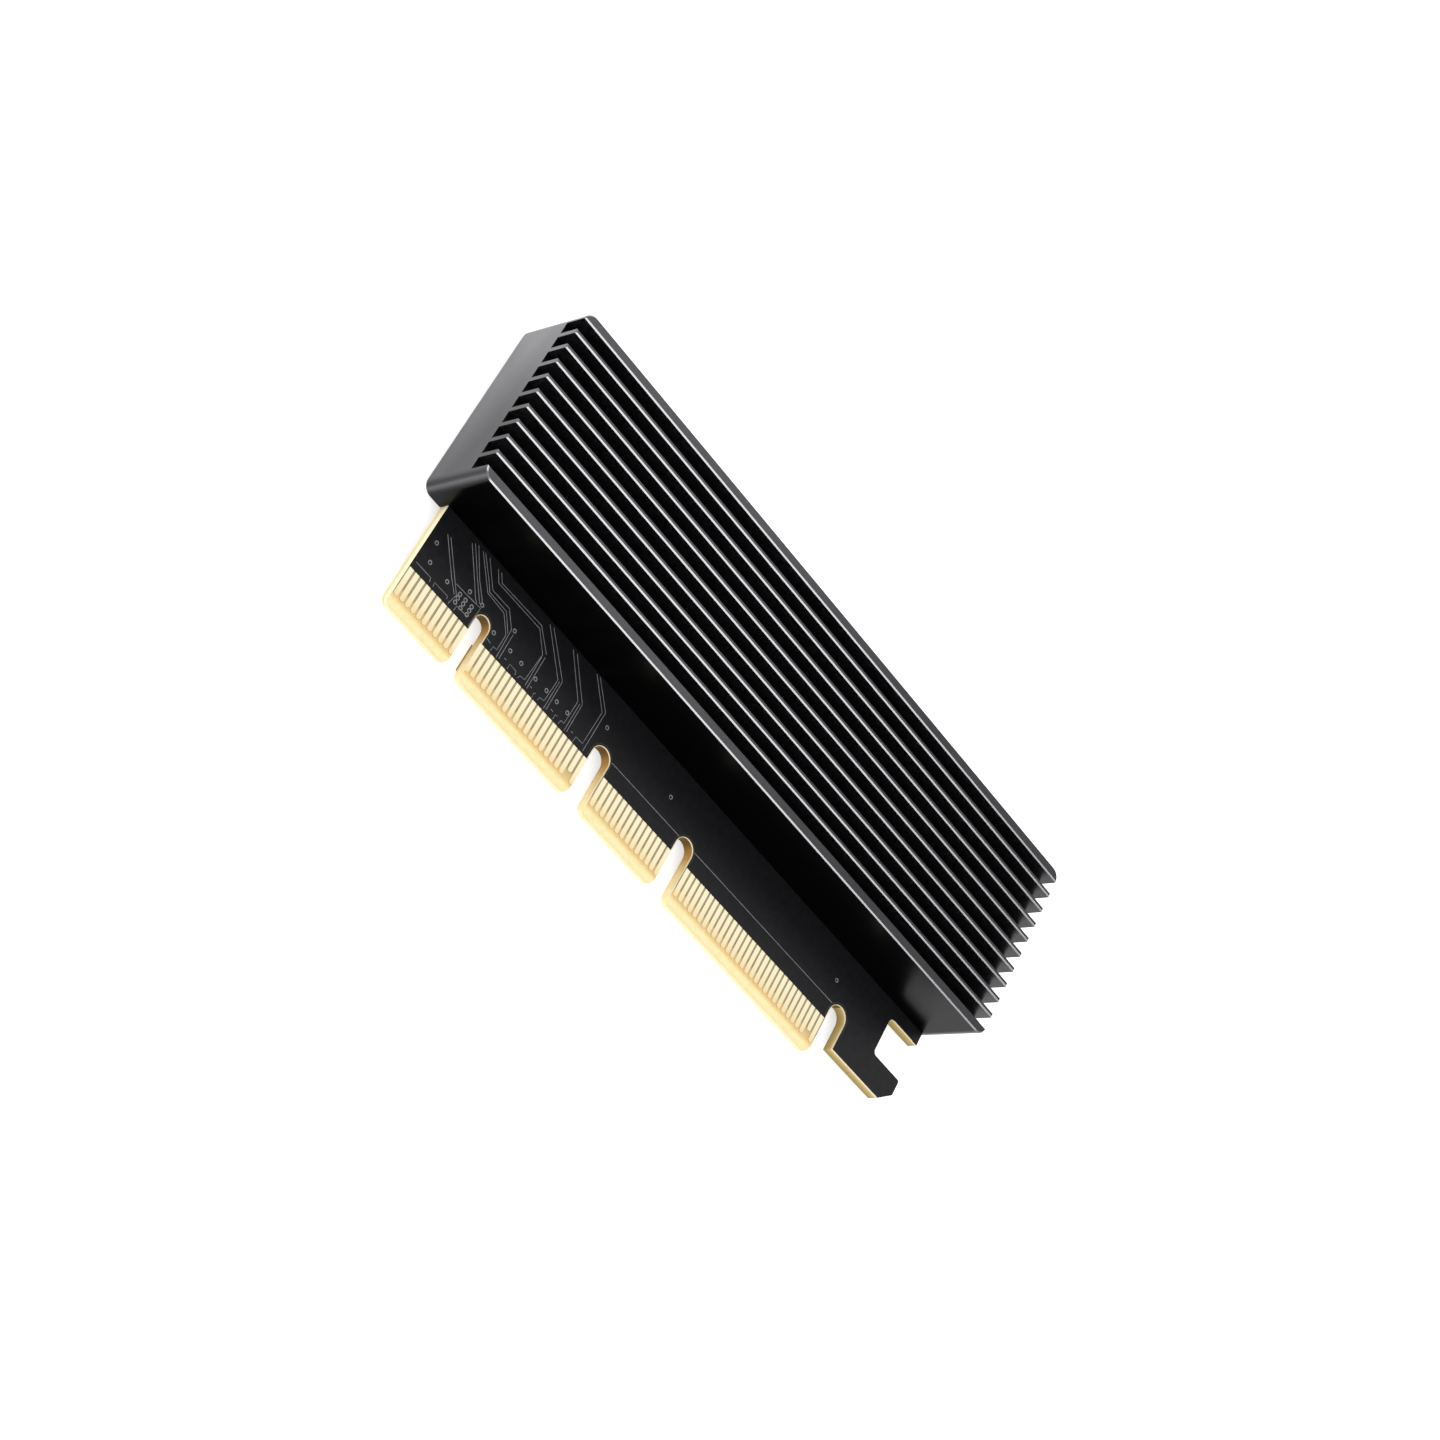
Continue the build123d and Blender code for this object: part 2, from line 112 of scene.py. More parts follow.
# Black anodised aluminium, blasted with fine beads before it was dyed: a satin skin that mirrors
# the room softly. Light and shade are painted into its colour by facing and place: the long walls
# are painted darkest, the milled tops greyer with a painted sheen that fades along the fins, the ends
# carry a painted reflection, the rounded corners a painted light band, and the cut edges are painted
# lighter so that they shine; the sides of the grooves show the grain of the extrusion
anodised, shader, coords = start_material("black_anodised_blasted_aluminium")
bead_grain = 0.22
end_fade_height = 4.5
outer_wall_margin = 0.5
chamfer_slope, slope_tolerance = 0.707, 0.1
square_to_side = 0.99
grain = add_node(
    anodised, "ShaderNodeTexNoise", {"Scale": 1000 / bead_grain, "Detail": 3.0}, {"Vector": coords}
)
facing = add_node(
    anodised, "ShaderNodeSeparateXYZ", {},
    {"Vector": add_node(anodised, "ShaderNodeNewGeometry", {}).outputs["Normal"]},
)
place = add_node(anodised, "ShaderNodeSeparateXYZ", {}, {"Vector": coords})
along_fins = add_node(
    anodised, "ShaderNodeMapRange", {"From Min": cover_low.x, "From Max": cover_high.x},
    {"Value": place.outputs["X"]},
)
# painted sheen on the milled tops: lighter at the fins' -X end, darker towards their +X end
painted_top_sheen = add_node(
    anodised, "ShaderNodeValToRGB", {"stops": [(0.0, "#454547"), (0.35, "#414143"), (0.7, "#303032")]},
    {"Fac": along_fins.outputs["Result"]},
)
mill_marks = add_node(
    anodised, "ShaderNodeValToRGB", {"stops": [(0.3, "#dcdcdc"), (0.72, "#ffffff")]},
    {"Fac": grain.outputs["Fac"]},
)
mill_marks_and_painted_sheen = add_node(
    anodised, "ShaderNodeMix", {"data_type": "RGBA", "blend_type": "MULTIPLY", 0: 1.0},
    {COLOUR_A: painted_top_sheen.outputs["Color"], COLOUR_B: mill_marks.outputs["Color"]},
)
# painted reflection on the cover's ends: lighter towards the +Y side, and darker over the first
# end_fade_height above the board
along_end = add_node(
    anodised, "ShaderNodeMapRange", {"From Min": cover_low.y, "From Max": cover_high.y},
    {"Value": place.outputs["Y"]},
)
above_board = add_node(
    anodised, "ShaderNodeMapRange",
    {"From Min": front_z, "From Max": front_z + end_fade_height * MM, "To Min": 0.06, "To Max": -0.3},
    {"Value": place.outputs["Z"]},
)
end_place = add_node(
    anodised, "ShaderNodeMath", {"operation": "ADD"},
    {0: along_end.outputs["Result"], 1: above_board.outputs["Result"]},
)
painted_end_reflection = add_node(
    anodised, "ShaderNodeValToRGB", {"stops": [(0.0, "#343436"), (0.25, "#4a4a4c"), (0.75, "#6c6c6e")]},
    {"Fac": end_place.outputs["Value"]},
)
endways = add_node(anodised, "ShaderNodeMath", {"operation": "ABSOLUTE"}, {0: facing.outputs["X"]})
# the tops take the painted sheen, the ends the painted reflection
painted_tops_and_ends = add_node(
    anodised, "ShaderNodeMix", {"data_type": "RGBA"},
    {
        "Factor": endways.outputs["Value"],
        COLOUR_A: mill_marks_and_painted_sheen.outputs[COLOUR_OUT],
        COLOUR_B: painted_end_reflection.outputs["Color"],
    },
)
sideways = add_node(anodised, "ShaderNodeMath", {"operation": "ABSOLUTE"}, {0: facing.outputs["Y"]})
# painted light band round the rounded corners, about three quarters of the way to the long walls, and painted
# shade darkening towards the walls themselves
painted_corner_band_and_wall = add_node(
    anodised, "ShaderNodeValToRGB",
    {"stops": [
        (0.2, "#48484a"), (0.5, "#38383a"), (0.64, "#404042"), (0.77, "#5e5e60"), (0.87, "#505052"),
        (0.94, "#343436"),
        (0.985, "#242426"), (1.0, "#161617"),
    ]},
    {"Fac": sideways.outputs["Value"]},
)
into_corner = add_node(
    anodised, "ShaderNodeMapRange", {"From Max": 0.2}, {"Value": sideways.outputs["Value"]}
)
# mix of the painted tones: tops and ends turning into the painted corner band and wall shade
painted_tone_by_facing = add_node(
    anodised, "ShaderNodeMix", {"data_type": "RGBA"},
    {
        "Factor": into_corner.outputs["Result"],
        COLOUR_A: painted_tops_and_ends.outputs[COLOUR_OUT],
        COLOUR_B: painted_corner_band_and_wall.outputs["Color"],
    },
)
slope = add_node(anodised, "ShaderNodeMath", {"operation": "ABSOLUTE"}, {0: facing.outputs["Z"]})
cut_edge = add_node(
    anodised, "ShaderNodeMath", {"operation": "COMPARE", 1: chamfer_slope, 2: slope_tolerance},
    {0: slope.outputs["Value"]},
)
# painted highlight: the cut edges are given a lighter grey so that they shine as bright lines
painted_edge_shine = add_node(
    anodised, "ShaderNodeMix", {"data_type": "RGBA", COLOUR_B: linear("#909092")},
    {"Factor": cut_edge.outputs["Value"], COLOUR_A: painted_tone_by_facing.outputs[COLOUR_OUT]},
)
between_walls = add_node(
    anodised, "ShaderNodeMath",
    {
        "operation": "COMPARE",
        1: (cover_low.y + cover_high.y) / 2,
        2: (cover_high.y - cover_low.y) / 2 - outer_wall_margin * MM,
    },
    {0: place.outputs["Y"]},
)
long_side = add_node(
    anodised, "ShaderNodeMath", {"operation": "GREATER_THAN", 1: square_to_side},
    {0: sideways.outputs["Value"]},
)
in_groove = add_node(
    anodised, "ShaderNodeMath", {"operation": "MULTIPLY"},
    {0: between_walls.outputs["Value"], 1: long_side.outputs["Value"]},
)
extrusion_grain = add_node(
    anodised, "ShaderNodeValToRGB", {"stops": [(0.42, "#040405"), (0.68, "#2c2c2e")]},
    {"Fac": grain.outputs["Fac"]},
)
skin = add_node(
    anodised, "ShaderNodeMix", {"data_type": "RGBA"},
    {
        "Factor": in_groove.outputs["Value"],
        COLOUR_A: painted_edge_shine.outputs[COLOUR_OUT],
        COLOUR_B: extrusion_grain.outputs["Color"],
    },
)
feed(anodised, shader, "Base Color", skin.outputs[COLOUR_OUT])
metal_share = add_node(
    anodised, "ShaderNodeMapRange", {"To Min": 1.0, "To Max": 0.2}, {"Value": in_groove.outputs["Value"]}
)
feed(anodised, shader, "Metallic", metal_share.outputs["Result"])
sheen_spread = add_node(
    anodised, "ShaderNodeMapRange", {"From Min": 0.2, "From Max": 0.9, "To Min": 0.2, "To Max": 0.28},
    {"Value": sideways.outputs["Value"]},
)
feed(anodised, shader, "Roughness", sheen_spread.outputs["Result"])
pits = add_node(
    anodised, "ShaderNodeBump", {"Strength": 0.2, "Distance": relief_depth}, {"Height": grain.outputs["Fac"]}
)
feed(anodised, shader, "Normal", pits.outputs["Normal"])

# Glass-epoxy laminate with a black solder mask: the mask is a dark satin lacquer over both faces.
# Round the contacts the bare laminate is olive over the inner copper and amber beyond it, with a
# deeper amber band of painted shade just below the contacts' tips, and the cut edges show pale glass
# plies. On the cut edges light and shade are painted: the notch walls darken deeper into each notch,
# the hook's wall darkens towards the back face, and a painted highlight runs along their front edge
board, shader, coords = start_material("black_solder_mask_on_glass_epoxy")
shader.inputs["Specular IOR Level"].default_value = 0.12
outer_edge_width = 3.0
wall_slope = 0.5
front_highlight_start = 0.9
place = add_node(board, "ShaderNodeSeparateXYZ", {}, {"Vector": coords})
below_mask = add_node(
    board, "ShaderNodeMath", {"operation": "LESS_THAN", 1: mask_line_y}, {0: place.outputs["Y"]}
)
before_hook = add_node(
    board, "ShaderNodeMath", {"operation": "LESS_THAN", 1: hook_notch_x}, {0: place.outputs["X"]}
)
bare_face = add_node(
    board, "ShaderNodeMath", {"operation": "MULTIPLY"},
    {0: below_mask.outputs["Value"], 1: before_hook.outputs["Value"]},
)
facing = add_node(
    board, "ShaderNodeSeparateXYZ", {},
    {"Vector": add_node(board, "ShaderNodeNewGeometry", {}).outputs["True Normal"]},
)
upright = add_node(board, "ShaderNodeMath", {"operation": "ABSOLUTE"}, {0: facing.outputs["Z"]})
cut_edge = add_node(
    board, "ShaderNodeMath", {"operation": "LESS_THAN", 1: wall_slope}, {0: upright.outputs["Value"]}
)
from_edge = add_node(
    board, "ShaderNodeMapRange", {"From Min": edge_y, "From Max": mask_line_y}, {"Value": place.outputs["Y"]}
)
# the deeper amber band just below the contacts' tips is painted shade
face_colour = add_node(
    board, "ShaderNodeValToRGB",
    {"stops": [
        (0.0, "#fce8bc"), (0.1, "#fff4bc"), (0.17, "#fff0b4"), (0.205, "#f8da9c"), (0.26, "#f2d092"),
        (0.43, "#dcc48c"),
        (0.5, "#aca478"), (1.0, "#aea682"),
    ]},
    {"Fac": from_edge.outputs["Result"]},
)
through = add_node(
    board, "ShaderNodeMapRange", {"From Min": back_z, "From Max": front_z}, {"Value": place.outputs["Z"]}
)
# the hook's cut wall: painted shade darkening towards the back face, and a painted highlight along its front
# edge
hook_wall_painted_light = add_node(
    board, "ShaderNodeValToRGB",
    {"stops": [(0.0, "#907c40"), (0.5, "#a89258"), (0.85, "#c4b07c"), (0.97, "#faf3da")]},
    {"Fac": through.outputs["Result"]},
)
# the notch walls: painted shade, darker the deeper they go into the notch
up_notch = add_node(
    board, "ShaderNodeMapRange", {"From Min": edge_y, "From Max": notch_top_y}, {"Value": place.outputs["Y"]}
)
painted_notch_shade = add_node(
    board, "ShaderNodeValToRGB",
    {"stops": [
        (0.0, "#fbe6b4"), (0.25, "#f2e0b6"), (0.5, "#e8d4a2"), (0.65, "#d8c088"), (0.8, "#c49c58"),
        (0.93, "#a07838"),
        (1.0, "#5e4620"),
    ]},
    {"Fac": up_notch.outputs["Result"]},
)
# a painted highlight along the front edge of the notch walls
painted_front_highlight = add_node(
    board, "ShaderNodeMath", {"operation": "GREATER_THAN", 1: front_highlight_start},
    {0: through.outputs["Result"]},
)
notch_wall_painted_highlight = add_node(
    board, "ShaderNodeMix", {"data_type": "RGBA", COLOUR_B: linear("#faf3da")},
    {"Factor": painted_front_highlight.outputs["Value"], COLOUR_A: painted_notch_shade.outputs["Color"]},
)
notch_or_hook = add_node(
    board, "ShaderNodeMix", {"data_type": "RGBA"},
    {
        "Factor": before_hook.outputs["Value"],
        COLOUR_A: hook_wall_painted_light.outputs["Color"],
        COLOUR_B: notch_wall_painted_highlight.outputs[COLOUR_OUT],
    },
)
outer_wall = add_node(
    board, "ShaderNodeValToRGB",
    {"stops": [(0.0, "#ecdcae"), (0.4, "#e2d2a0"), (0.5, "#f4e8c2"), (0.97, "#faf2d0")]},
    {"Fac": through.outputs["Result"]},
)
# the board's outer edge stays pale, lighter in its front half; the notch walls beside it carry the painted
# shade
outer_edge = add_node(
    board, "ShaderNodeMath", {"operation": "LESS_THAN", 1: board_low.x + outer_edge_width * MM},
    {0: place.outputs["X"]},
)
walls = add_node(
    board, "ShaderNodeMix", {"data_type": "RGBA"},
    {
        "Factor": outer_edge.outputs["Value"],
        COLOUR_A: notch_or_hook.outputs[COLOUR_OUT],
        COLOUR_B: outer_wall.outputs["Color"],
    },
)
laminate = add_node(
    board, "ShaderNodeMix", {"data_type": "RGBA"},
    {
        "Factor": cut_edge.outputs["Value"],
        COLOUR_A: face_colour.outputs["Color"],
        COLOUR_B: walls.outputs[COLOUR_OUT],
    },
)
ply_thickness = 0.2
glass_pitch = 0.6
plies = add_node(
    board, "ShaderNodeMapping", {"Scale": (1000 / glass_pitch, 1000 / glass_pitch, 1000 / ply_thickness)},
    {"Vector": coords},
)
ply_noise = add_node(
    board, "ShaderNodeTexNoise", {"Scale": 1.0, "Detail": 2.0}, {"Vector": plies.outputs["Vector"]}
)
glass_tone = add_node(
    board, "ShaderNodeValToRGB", {"stops": [(0.3, "#f9f6ee"), (0.65, "#ffffff")]},
    {"Fac": ply_noise.outputs["Fac"]},
)
woven = add_node(
    board, "ShaderNodeMix", {"data_type": "RGBA", "blend_type": "MULTIPLY", 0: 1.0},
    {COLOUR_A: laminate.outputs[COLOUR_OUT], COLOUR_B: glass_tone.outputs["Color"]},
)
lacquer_ripple = 0.9
ripple = add_node(
    board, "ShaderNodeTexNoise", {"Scale": 1000 / lacquer_ripple, "Detail": 2.0}, {"Vector": coords}
)
mask_colour = add_node(
    board, "ShaderNodeValToRGB", {"stops": [(0.3, "#161618"), (0.7, "#1c1c1e")]},
    {"Fac": ripple.outputs["Fac"]},
)
bare = add_node(
    board, "ShaderNodeMath", {"operation": "MAXIMUM"},
    {0: bare_face.outputs["Value"], 1: cut_edge.outputs["Value"]},
)
skin = add_node(
    board, "ShaderNodeMix", {"data_type": "RGBA"},
    {
        "Factor": bare.outputs["Value"],
        COLOUR_A: mask_colour.outputs["Color"],
        COLOUR_B: woven.outputs[COLOUR_OUT],
    },
)
feed(board, shader, "Base Color", skin.outputs[COLOUR_OUT])
board_gloss = add_node(
    board, "ShaderNodeMapRange", {"To Min": 0.42, "To Max": 0.55}, {"Value": bare.outputs["Value"]}
)
feed(board, shader, "Roughness", board_gloss.outputs["Result"])
orange_peel = add_node(
    board, "ShaderNodeBump", {"Strength": 0.25, "Distance": relief_depth}, {"Height": ripple.outputs["Fac"]}
)
feed(board, shader, "Normal", orange_peel.outputs["Normal"])

# Solder mask where copper lies under it: the same lacquer, a little raised and greyer
raised_mask, shader, coords = start_material("solder_mask_over_copper", Roughness=0.4)
ripple = add_node(raised_mask, "ShaderNodeTexNoise", {"Scale": 1000 / lacquer_ripple}, {"Vector": coords})
raised_colour = add_node(
    raised_mask, "ShaderNodeValToRGB", {"stops": [(0.3, "#84848a"), (0.7, "#9c9ca0")]},
    {"Fac": ripple.outputs["Fac"]},
)
feed(raised_mask, shader, "Base Color", raised_colour.outputs["Color"])

# A thin pale line of laminate colour along the cut rims of the notches and the hook: a painted edge highlight
painted_rim_highlight, shader, coords = start_material("pale_rim_painted_highlight", Roughness=0.55)
glass = add_node(painted_rim_highlight, "ShaderNodeTexNoise", {"Scale": 1000 / ply_thickness}, {"Vector": coords})
rim_colour = add_node(
    painted_rim_highlight, "ShaderNodeValToRGB", {"stops": [(0.3, "#d8c890"), (0.7, "#f2e8c4")]},
    {"Fac": glass.outputs["Fac"]},
)
feed(painted_rim_highlight, shader, "Base Color", rim_colour.outputs["Color"])

# The edge of an inner copper plane seen through the mask: a faint brown line
brown_rim, shader, coords = start_material("inner_copper_under_mask", Roughness=0.5)
tarnish_size = 0.5
tarnish = add_node(brown_rim, "ShaderNodeTexNoise", {"Scale": 1000 / tarnish_size}, {"Vector": coords})
brown = add_node(
    brown_rim, "ShaderNodeValToRGB", {"stops": [(0.3, "#3a2f22"), (0.7, "#54442e")]},
    {"Fac": tarnish.outputs["Fac"]},
)
feed(brown_rim, shader, "Base Color", brown.outputs["Color"])

# Hard gold plating over nickel: a pale warm metal with faint polishing variation, which deepens
# a little towards the contacts' tips
gold, shader, coords = start_material("hard_gold_plating", Metallic=1.0)
plating_grain = 0.35
cloud = add_node(
    gold, "ShaderNodeTexNoise", {"Scale": 1000 / plating_grain, "Detail": 2.0}, {"Vector": coords}
)
place = add_node(gold, "ShaderNodeSeparateXYZ", {}, {"Vector": coords})
up_contact = add_node(
    gold, "ShaderNodeMapRange", {"From Min": contact_low.y, "From Max": contact_high.y},
    {"Value": place.outputs["Y"]},
)
gold_tone = add_node(
    gold, "ShaderNodeValToRGB", {"stops": [(0.0, "#c0ad82"), (0.3, "#c4b799"), (0.8, "#c7bea3")]},
    {"Fac": up_contact.outputs["Result"]},
)
polish = add_node(
    gold, "ShaderNodeValToRGB", {"stops": [(0.25, "#f4f2ee"), (0.75, "#ffffff")]},
    {"Fac": cloud.outputs["Fac"]},
)
plated = add_node(
    gold, "ShaderNodeMix", {"data_type": "RGBA", "blend_type": "MULTIPLY", 0: 1.0},
    {COLOUR_A: gold_tone.outputs["Color"], COLOUR_B: polish.outputs["Color"]},
)
feed(gold, shader, "Base Color", plated.outputs[COLOUR_OUT])
gold_gloss = add_node(
    gold, "ShaderNodeMapRange", {"To Min": 0.22, "To Max": 0.36}, {"Value": cloud.outputs["Fac"]}
)
feed(gold, shader, "Roughness", gold_gloss.outputs["Result"])

# Tin plating on solder tabs and chip ends: a dull silver with soft blotches
tin, shader, coords = start_material("dull_tin_plating", Metallic=1.0)
blotch_size = 0.4
blotch = add_node(tin, "ShaderNodeTexNoise", {"Scale": 1000 / blotch_size, "Detail": 3.0}, {"Vector": coords})
tin_colour = add_node(
    tin, "ShaderNodeValToRGB", {"stops": [(0.3, "#b4b6b8"), (0.7, "#d6d8da")]}, {"Fac": blotch.outputs["Fac"]}
)
feed(tin, shader, "Base Color", tin_colour.outputs["Color"])
tin_gloss = add_node(
    tin, "ShaderNodeMapRange", {"To Min": 0.3, "To Max": 0.5}, {"Value": blotch.outputs["Fac"]}
)
feed(tin, shader, "Roughness", tin_gloss.outputs["Result"])

# Blackened steel screws: black oxide with an oily sheen and lighter turning marks
blackened, shader, coords = start_material("black_oxide_steel", Metallic=1.0)
oxide_grain = 0.3
oxide = add_node(
    blackened, "ShaderNodeTexNoise", {"Scale": 1000 / oxide_grain, "Detail": 4.0}, {"Vector": coords}
)
oxide_colour = add_node(
    blackened, "ShaderNodeValToRGB", {"stops": [(0.3, "#2c2c30"), (0.75, "#4c4c50")]},
    {"Fac": oxide.outputs["Fac"]},
)
feed(blackened, shader, "Base Color", oxide_colour.outputs["Color"])
oxide_gloss = add_node(
    blackened, "ShaderNodeMapRange", {"To Min": 0.28, "To Max": 0.45}, {"Value": oxide.outputs["Fac"]}
)
feed(blackened, shader, "Roughness", oxide_gloss.outputs["Result"])

# Turned brass: a warm yellow metal with fine rings from the lathe
brass, shader, coords = start_material("turned_brass", Metallic=1.0)
ring_pitch = 0.15
ring_length = 5.0
tool_marks = add_node(
    brass, "ShaderNodeMapping",
    {"Scale": (1000 / ring_length, 1000 / ring_length, 1000 / ring_pitch)}, {"Vector": coords},
)
rings = add_node(
    brass, "ShaderNodeTexNoise", {"Scale": 1.0, "Detail": 2.0}, {"Vector": tool_marks.outputs["Vector"]}
)
brass_colour = add_node(
    brass, "ShaderNodeValToRGB", {"stops": [(0.3, "#c29a4a"), (0.7, "#e0bf74")]},
    {"Fac": rings.outputs["Fac"]},
)
feed(brass, shader, "Base Color", brass_colour.outputs["Color"])
brass_gloss = add_node(
    brass, "ShaderNodeMapRange", {"To Min": 0.2, "To Max": 0.38}, {"Value": rings.outputs["Fac"]}
)
feed(brass, shader, "Roughness", brass_gloss.outputs["Result"])

# Glass-filled nylon of the socket: a matt black moulding with a faint mould texture
nylon, shader, coords = start_material("moulded_black_nylon", Roughness=0.5)
mould_grain = 0.25
mould = add_node(
    nylon, "ShaderNodeTexNoise", {"Scale": 1000 / mould_grain, "Detail": 3.0}, {"Vector": coords}
)
nylon_colour = add_node(
    nylon, "ShaderNodeValToRGB", {"stops": [(0.3, "#161617"), (0.7, "#202022")]},
    {"Fac": mould.outputs["Fac"]},
)
feed(nylon, shader, "Base Color", nylon_colour.outputs["Color"])
mould_bump = add_node(
    nylon, "ShaderNodeBump", {"Strength": 0.3, "Distance": relief_depth}, {"Height": mould.outputs["Fac"]}
)
feed(nylon, shader, "Normal", mould_bump.outputs["Normal"])

# Silicone thermal pad: a soft blue-grey sheet, matt, with fine filler grains
pad, shader, coords = start_material("filled_silicone_pad", Roughness=0.8)
filler_grain = 0.4
filler = add_node(
    pad, "ShaderNodeTexNoise", {"Scale": 1000 / filler_grain, "Detail": 4.0}, {"Vector": coords}
)
pad_colour = add_node(
    pad, "ShaderNodeValToRGB", {"stops": [(0.3, "#7d8894"), (0.7, "#98a2ac")]}, {"Fac": filler.outputs["Fac"]}
)
feed(pad, shader, "Base Color", pad_colour.outputs["Color"])

# Fired ceramic of the small capacitors: a smooth tan body
ceramic, shader, coords = start_material("fired_capacitor_ceramic", Roughness=0.4)
fired_grain = 0.2
fired = add_node(
    ceramic, "ShaderNodeTexNoise", {"Scale": 1000 / fired_grain, "Detail": 3.0}, {"Vector": coords}
)
ceramic_colour = add_node(
    ceramic, "ShaderNodeValToRGB", {"stops": [(0.3, "#9c7c58"), (0.7, "#b5946e")]},
    {"Fac": fired.outputs["Fac"]},
)
feed(ceramic, shader, "Base Color", ceramic_colour.outputs["Color"])

# Resistor glaze: a glossy black glass over the film
glaze, shader, coords = start_material("resistor_glass_glaze", Roughness=0.22)
film_ripple = 0.3
film = add_node(glaze, "ShaderNodeTexNoise", {"Scale": 1000 / film_ripple}, {"Vector": coords})
glaze_colour = add_node(
    glaze, "ShaderNodeValToRGB", {"stops": [(0.3, "#0e0e10"), (0.7, "#19191c")]}, {"Fac": film.outputs["Fac"]}
)
feed(glaze, shader, "Base Color", glaze_colour.outputs["Color"])

# Moulded epoxy of the bulk capacitors: a matt ochre block
epoxy, shader, coords = start_material("moulded_ochre_epoxy", Roughness=0.55)
speck_size = 0.25
speck = add_node(epoxy, "ShaderNodeTexNoise", {"Scale": 1000 / speck_size, "Detail": 3.0}, {"Vector": coords})
epoxy_colour = add_node(
    epoxy, "ShaderNodeValToRGB", {"stops": [(0.3, "#b98a34"), (0.7, "#cfa24a")]},
    {"Fac": speck.outputs["Fac"]},
)
feed(epoxy, shader, "Base Color", epoxy_colour.outputs["Color"])

# White acrylic of a light table, faintly lit from below
acrylic, shader, coords = start_material("white_light_table_acrylic", Roughness=0.9)
shader.inputs["Emission Color"].default_value = linear("#ffffff")
shader.inputs["Emission Strength"].default_value = 0.65
haze_size = 3.0
haze = add_node(acrylic, "ShaderNodeTexNoise", {"Scale": 1000 / haze_size, "Detail": 3.0}, {"Vector": coords})
acrylic_colour = add_node(
    acrylic, "ShaderNodeValToRGB", {"stops": [(0.3, "#f7f7f7"), (0.7, "#fcfcfc")]},
    {"Fac": haze.outputs["Fac"]},
)
feed(acrylic, shader, "Base Color", acrylic_colour.outputs["Color"])

finishes = {
    "circuit_board": board,
    "edge_contacts_front": gold,
    "edge_contacts_back": gold,
    "standoff_hole_lands": gold,
    "heatsink_cover": anodised,
    "cover_screws": blackened,
    "thermal_pad": pad,
    "socket_housing": nylon,
    "socket_upper_contacts": gold,
    "socket_lower_contacts": gold,
    "socket_hold_down_tabs": tin,
    "drive_standoff": brass,
    "standoff_nut": brass,
    "drive_screw": blackened,
    "ceramic_capacitors": ceramic,
    "ceramic_capacitor_ends": tin,
    "chip_resistors": glaze,
    "chip_resistor_ends": tin,
    "bulk_capacitors": epoxy,
    "bulk_capacitor_leads": tin,
}
for node_name, material in finishes.items():
    for material_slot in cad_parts[node_name].material_slots:
        material_slot.material = material


# Tracks, vias and rims on the board


def finish_piece(piece):
    """Fixes a new piece to the card."""
    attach(piece, "root")


def flat_lines(name, paths, half_width, height, z, material):
    """Flat raised lines along straight runs, half sunk in the board's face."""
    bpy.ops.object.select_all(action="DESELECT")
    curve = bpy.data.curves.new(name, "CURVE")
    curve.dimensions = "3D"
    curve.bevel_depth = half_width
    curve.bevel_resolution = 0
    curve.use_fill_caps = True
    for path in paths:
        spline = curve.splines.new("POLY")
        spline.points.add(len(path) - 1)
        for point, (x, y, _) in zip(spline.points, path):
            point.co = (x, y, z, 1)
    piece = bpy.data.objects.new(name, curve)
    bpy.context.scene.collection.objects.link(piece)
    bpy.context.view_layer.objects.active = piece
    piece.select_set(True)
    bpy.ops.object.convert(target="MESH")
    piece = bpy.context.object
    bpy.ops.object.mode_set(mode="EDIT")
    bpy.ops.mesh.select_all(action="SELECT")
    bpy.ops.transform.resize(value=(1, 1, height / half_width), center_override=(0, 0, z))
    bpy.ops.mesh.normals_make_consistent(inside=False)
    bpy.ops.object.mode_set(mode="OBJECT")
    piece.data.materials.clear()
    piece.data.materials.append(material)
    return piece


